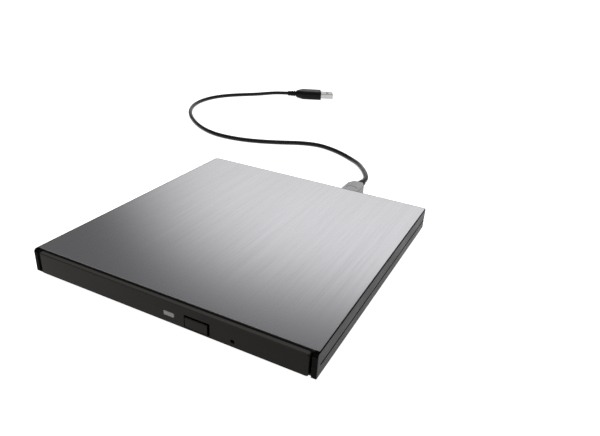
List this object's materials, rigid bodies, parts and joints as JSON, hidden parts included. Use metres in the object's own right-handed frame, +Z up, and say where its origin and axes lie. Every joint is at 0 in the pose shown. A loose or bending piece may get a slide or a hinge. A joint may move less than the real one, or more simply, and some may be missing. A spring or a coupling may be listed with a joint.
{
  "type": "external optical drive",
  "caption": "Slim external optical disc drive with a tray that slides out on telescoping rails, brushed lid, eject button, status light and a plugged-in USB lead.",
  "frame": {"origin": "on the table, under the middle of the case (without the lead)", "axes": "+X to the right seen from the front, +Y to the back where the USB port is, +Z up; the tray slides out along -Y"},
  "size_m": [0.2525, 0.377, 0.0135],
  "materials": {
    "case_shell": "fine satin paint over a moulded shell",
    "brushed_lid": "brushed front to back, dark anodised",
    "foot_rubber": "matte",
    "black_screw": "black oxide",
    "sheet_steel": "zinc-plated sheet",
    "bright_steel": "ground and polished",
    "slide_steel": "drawn bar",
    "rail_plastic": "moulded, greased",
    "circuit_board": "green solder mask",
    "chip_black": "moulded packages",
    "connector_black": "moulded",
    "plated_shell": "nickel-plated",
    "flex_film": "polyester film",
    "tray_plastic": "fine texture",
    "bezel_black": "satin",
    "light_window": "translucent moulding",
    "motor_core": "laminated core and windings",
    "motor_case": "drawn can",
    "hub_plastic": "moulded",
    "ring_rubber": "matte",
    "sled_metal": "die-cast zinc",
    "claw_plastic": "natural acetal",
    "lens_glass": "coated",
    "plug_grey": "satin moulded",
    "plug_black": "moulded",
    "cord_jacket": "satin jacket",
    "tongue_white": "moulded"
  },
  "bodies": {
    "case": {"top_cover": "case_shell", "lid_plate": "brushed_lid", "bottom_cover": "case_shell", "rubber_feet": "foot_rubber", "case_screws": "black_screw", "drive_chassis": "sheet_steel", "drive_top_shield": "sheet_steel", "drive_screws": "bright_steel", "latch_catch": "bright_steel", "left_guide_rail": "rail_plastic", "right_guide_rail": "rail_plastic", "bridge_board": "circuit_board", "bridge_chips": "chip_black", "usb_socket": "plated_shell", "sata_plug": "connector_black", "sata_socket": "connector_black", "connector_board": "circuit_board", "flex_cable": "flex_film"},
    "tray": {"tray": "tray_plastic", "tray_floor": "tray_plastic", "bezel": "bezel_black", "led_window": "light_window", "tray_board": "circuit_board", "status_led": "light_window", "eject_switch": "connector_black", "traverse_deck": "sheet_steel", "traverse_shield": "sheet_steel", "tray_screws": "bright_steel", "main_board": "circuit_board", "main_chips": "chip_black", "spindle_stator": "motor_core", "main_rod": "bright_steel", "sub_rod": "bright_steel", "sled_motor": "motor_case", "latch_pin": "bright_steel", "latch_solenoid": "motor_core", "eject_spring": "bright_steel"},
    "left_rail": {"left_slide_rail": "slide_steel"},
    "right_rail": {"right_slide_rail": "slide_steel"},
    "button": {"eject_button": "bezel_black"},
    "rotor": {"spindle_rotor": "motor_case", "turntable_hub": "hub_plastic", "turntable_ring": "ring_rubber"},
    "claw_1": {"chuck_claw_1": "hub_plastic"},
    "claw_2": {"chuck_claw_2": "hub_plastic"},
    "claw_3": {"chuck_claw_3": "hub_plastic"},
    "sled": {"pickup_sled": "sled_metal", "feed_follower": "claw_plastic"},
    "screw": {"lead_screw": "bright_steel"},
    "lens": {"lens_holder": "connector_black", "lens": "lens_glass"},
    "latch": {"latch_lever": "claw_plastic"},
    "plunger": {"eject_plunger": "claw_plastic"},
    "usb_lead": {"usb_plug_shell": "plated_shell", "usb_plug_cover": "plug_grey", "usb_plug_relief": "plug_black", "lead_cord": "cord_jacket", "usb_a_cover": "plug_black", "usb_a_shell": "plated_shell", "usb_a_tongue": "tongue_white"}
  },
  "joints": [
    {"name": "tray_slide", "type": "slide", "parent": "case", "child": "tray", "axis": [0, -1, 0], "range_m": [0, 0.127]},
    {"name": "left_rail_slide", "type": "slide", "parent": "case", "child": "left_rail", "axis": [0, -1, 0], "range_m": [0, 0.0635]},
    {"name": "right_rail_slide", "type": "slide", "parent": "case", "child": "right_rail", "axis": [0, -1, 0], "range_m": [0, 0.0635]},
    {"name": "button_press", "type": "slide", "parent": "tray", "child": "button", "axis": [0, 1, 0], "range_m": [0, 0.0005], "stiffness_N_per_m": 800, "springref_m": -0.0003},
    {"name": "spindle_spin", "type": "hinge", "parent": "tray", "child": "rotor", "pos_m": [0, -0.005, 0.008], "axis": [0, 0, 1], "continuous": true},
    {"name": "claw_1_slide", "type": "slide", "parent": "rotor", "child": "claw_1", "axis": [0, 1, 0], "range_m": [-0.0004, 0], "stiffness_N_per_m": 400, "springref_m": 0.0002},
    {"name": "claw_2_slide", "type": "slide", "parent": "rotor", "child": "claw_2", "axis": [-0.866, -0.5, 0], "range_m": [-0.0004, 0], "stiffness_N_per_m": 400, "springref_m": 0.0002},
    {"name": "claw_3_slide", "type": "slide", "parent": "rotor", "child": "claw_3", "axis": [0.866, -0.5, 0], "range_m": [-0.0004, 0], "stiffness_N_per_m": 400, "springref_m": 0.0002},
    {"name": "sled_slide", "type": "slide", "parent": "tray", "child": "sled", "axis": [-0.7071, -0.7071, 0], "range_m": [0, 0.034]},
    {"name": "screw_spin", "type": "hinge", "parent": "tray", "child": "screw", "pos_m": [-0.01103, 0.00603, 0.0056], "axis": [-0.7071, -0.7071, 0], "range_deg": [0, 4090]},
    {"name": "lens_focus", "type": "slide", "parent": "sled", "child": "lens", "axis": [0, 0, 1], "range_m": [-0.0004, 0.0004], "stiffness_N_per_m": 40},
    {"name": "latch_swing", "type": "hinge", "parent": "tray", "child": "latch", "pos_m": [0.047, -0.058, 0.0051], "axis": [0, 0, 1], "range_deg": [0, 13]},
    {"name": "plunger_slide", "type": "slide", "parent": "tray", "child": "plunger", "axis": [0, 1, 0], "range_m": [0, 0.009]},
    {"name": "usb_unplug", "type": "slide", "parent": "case", "child": "usb_lead", "axis": [0, 1, 0], "range_m": [0, 0.009]}
  ],
  "couplings": [
    {"joint": "left_rail_slide", "follows": "tray_slide", "ratio": 0.5},
    {"joint": "right_rail_slide", "follows": "tray_slide", "ratio": 0.5},
    {"joint": "plunger_slide", "follows": "tray_slide", "ratio": 0.070079},
    {"joint": "screw_spin", "follows": "sled_slide", "rad_per_m": 2094.4}
  ]
}
